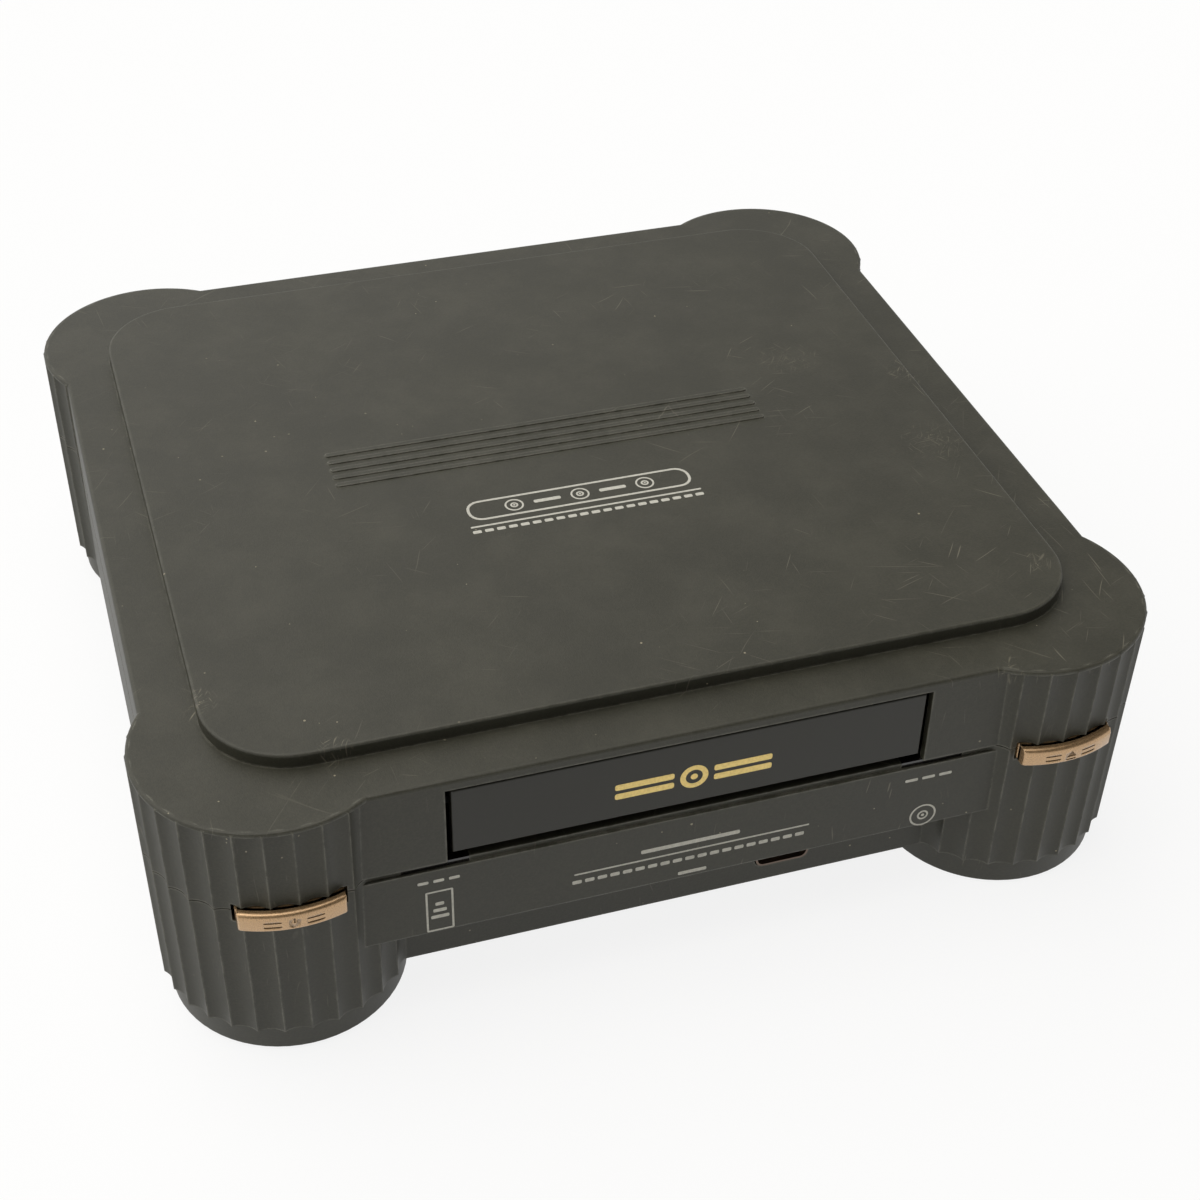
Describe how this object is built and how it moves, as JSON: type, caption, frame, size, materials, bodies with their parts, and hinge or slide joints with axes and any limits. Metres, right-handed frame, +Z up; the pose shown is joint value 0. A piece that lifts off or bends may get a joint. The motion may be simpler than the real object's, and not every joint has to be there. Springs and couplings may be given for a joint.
{
  "type": "disc console",
  "caption": "Square console on fluted corner pillars, with a front disc tray behind a door, two curved buttons, a controller socket and rear connectors.",
  "frame": {"origin": "on the floor under the middle of the console's outer box", "axes": "+X to the right seen from the front, the front faces -Y, +Z up"},
  "size_m": [0.3116, 0.3032, 0.0963],
  "materials": {
    "case_plastic": "fine grained, dark grey-brown",
    "door_plastic": "fine grained, dark grey",
    "button_bronze": "satin bronze paint",
    "smoked_lens": "smoked, clear",
    "black_plastic": "moulded, satin",
    "grey_plastic": "moulded, satin",
    "white_plastic": "acetal, smooth",
    "rubber": "matt",
    "steel": "zinc plated sheet and screws",
    "bright_steel": "polished",
    "tin": "tinned, dull",
    "aluminium": "extruded",
    "gold_metal": "thin plating",
    "circuit_board": "solder resist",
    "chip_black": "moulded epoxy",
    "ribbon": "flat cable film",
    "core_steel": "varnished laminations",
    "capacitor_sleeve": "shrunk sleeve",
    "lens_glass": "coated"
  },
  "bodies": {
    "case": {"top_case": "case_plastic", "bottom_case": "case_plastic", "rubber_feet": "rubber", "case_screws": "steel", "indicator_lenses": "smoked_lens", "power_spring": "bright_steel", "eject_spring": "bright_steel", "power_switch": "black_plastic", "eject_switch": "black_plastic", "front_board": "circuit_board", "controller_socket": "black_plastic", "controller_shell": "tin", "controller_pins": "gold_metal", "drive_chassis": "black_plastic", "drive_screws": "steel", "loading_motor": "bright_steel", "loading_belt": "rubber", "clamp_bridge": "steel", "main_board": "circuit_board", "power_board": "circuit_board", "board_screws": "steel", "chips": "chip_black", "board_shield": "tin", "servo_board": "circuit_board", "ribbon_cable": "ribbon", "transformer": "core_steel", "capacitors": "capacitor_sleeve", "heat_sink": "aluminium", "rear_panel": "black_plastic", "expansion_cover": "black_plastic", "expansion_socket": "black_plastic", "jack_block": "black_plastic", "jack_sleeves": "bright_steel", "video_socket": "black_plastic", "modulator": "tin", "ac_inlet": "black_plastic"},
    "tray": {"disc_tray": "black_plastic", "tray_door": "door_plastic"},
    "power_button": {"power_button": "button_bronze", "power_rod": "black_plastic"},
    "eject_button": {"eject_button": "button_bronze"},
    "tray_pinion": {"tray_pinion": "white_plastic"},
    "pulley_gear": {"pulley_gear": "white_plastic"},
    "motor_pulley": {"motor_pulley": "white_plastic"},
    "clamper": {"clamper": "black_plastic"},
    "lift": {"lift_frame": "black_plastic", "damper_rubbers": "rubber", "traverse_plate": "steel", "guide_rods": "bright_steel", "spindle_motor": "bright_steel", "sled_motor": "bright_steel"},
    "spindle": {"spindle_shaft": "bright_steel", "turntable": "black_plastic"},
    "sled": {"pickup_sled": "aluminium"},
    "lens": {"lens_holder": "black_plastic", "objective_lens": "lens_glass"},
    "sled_gear": {"sled_gear": "white_plastic"},
    "sled_motor_pinion": {"sled_motor_pinion": "white_plastic"},
    "cam_slider": {"cam_slider": "white_plastic"},
    "channel_knob": {"channel_knob": "grey_plastic"}
  },
  "joints": [
    {"name": "tray_slide", "type": "slide", "parent": "case", "child": "tray", "axis": [0, -1, 0], "range_m": [0, 0.132]},
    {"name": "tray_pinion_spin", "type": "hinge", "parent": "case", "child": "tray_pinion", "pos_m": [-0.05, -0.118, 0.06], "axis": [0, 0, 1], "range_deg": [0, 1080.48]},
    {"name": "pulley_gear_spin", "type": "hinge", "parent": "case", "child": "pulley_gear", "pos_m": [-0.0308, -0.118, 0.06], "axis": [0, 0, 1], "range_deg": [-3241.35, 0]},
    {"name": "motor_pulley_spin", "type": "hinge", "parent": "case", "child": "motor_pulley", "pos_m": [0.008, -0.118, 0.06], "axis": [0, 0, 1], "range_deg": [-10789.6, 0]},
    {"name": "lift_hinge", "type": "hinge", "parent": "case", "child": "lift", "pos_m": [0, 0.024, 0.06], "axis": [-1, 0, 0], "range_deg": [0, 5]},
    {"name": "cam_slide", "type": "slide", "parent": "case", "child": "cam_slider", "axis": [1, 0, 0], "range_m": [0, 0.016]},
    {"name": "spindle_spin", "type": "hinge", "parent": "lift", "child": "spindle", "pos_m": [0, -0.07268, 0.06359], "axis": [0, -0.0872, 0.9962], "continuous": true},
    {"name": "sled_slide", "type": "slide", "parent": "lift", "child": "sled", "axis": [0, 0.9962, 0.0872], "range_m": [0, 0.034]},
    {"name": "sled_gear_spin", "type": "hinge", "parent": "lift", "child": "sled_gear", "pos_m": [0.0366, -0.03084, 0.06725], "axis": [0, -0.0872, 0.9962], "range_deg": [-541.18, 0]},
    {"name": "sled_motor_spin", "type": "hinge", "parent": "lift", "child": "sled_motor_pinion", "pos_m": [0.0366, -0.01938, 0.06825], "axis": [0, -0.0872, 0.9962], "range_deg": [0, 1948.11]},
    {"name": "lens_focus", "type": "slide", "parent": "sled", "child": "lens", "axis": [0, -0.0872, 0.9962], "range_m": [-0.0006, 0.0006], "stiffness_N_per_m": 200},
    {"name": "clamper_spin", "type": "hinge", "parent": "case", "child": "clamper", "pos_m": [0, -0.072, 0.0865], "axis": [0, 0, 1], "continuous": true},
    {"name": "power_press", "type": "slide", "parent": "case", "child": "power_button", "axis": [0, 1, 0], "range_m": [0, 0.0025], "stiffness_N_per_m": 400, "springref_m": -0.001, "deforming": ["power_spring"]},
    {"name": "eject_press", "type": "slide", "parent": "case", "child": "eject_button", "axis": [0, 1, 0], "range_m": [0, 0.0025], "stiffness_N_per_m": 400, "springref_m": -0.001, "deforming": ["eject_spring"]},
    {"name": "channel_switch_slide", "type": "slide", "parent": "case", "child": "channel_knob", "axis": [1, 0, 0], "range_m": [0, 0.003]}
  ],
  "couplings": [
    {"joint": "tray_pinion_spin", "follows": "tray_slide", "rad_per_m": 142.86},
    {"joint": "pulley_gear_spin", "follows": "tray_slide", "rad_per_m": -428.57},
    {"joint": "motor_pulley_spin", "follows": "tray_slide", "rad_per_m": -1426.6},
    {"joint": "cam_slide", "follows": "lift_hinge", "m_per_rad": 0.18335},
    {"joint": "sled_gear_spin", "follows": "sled_slide", "rad_per_m": -277.78},
    {"joint": "sled_motor_spin", "follows": "sled_slide", "rad_per_m": 1000}
  ]
}
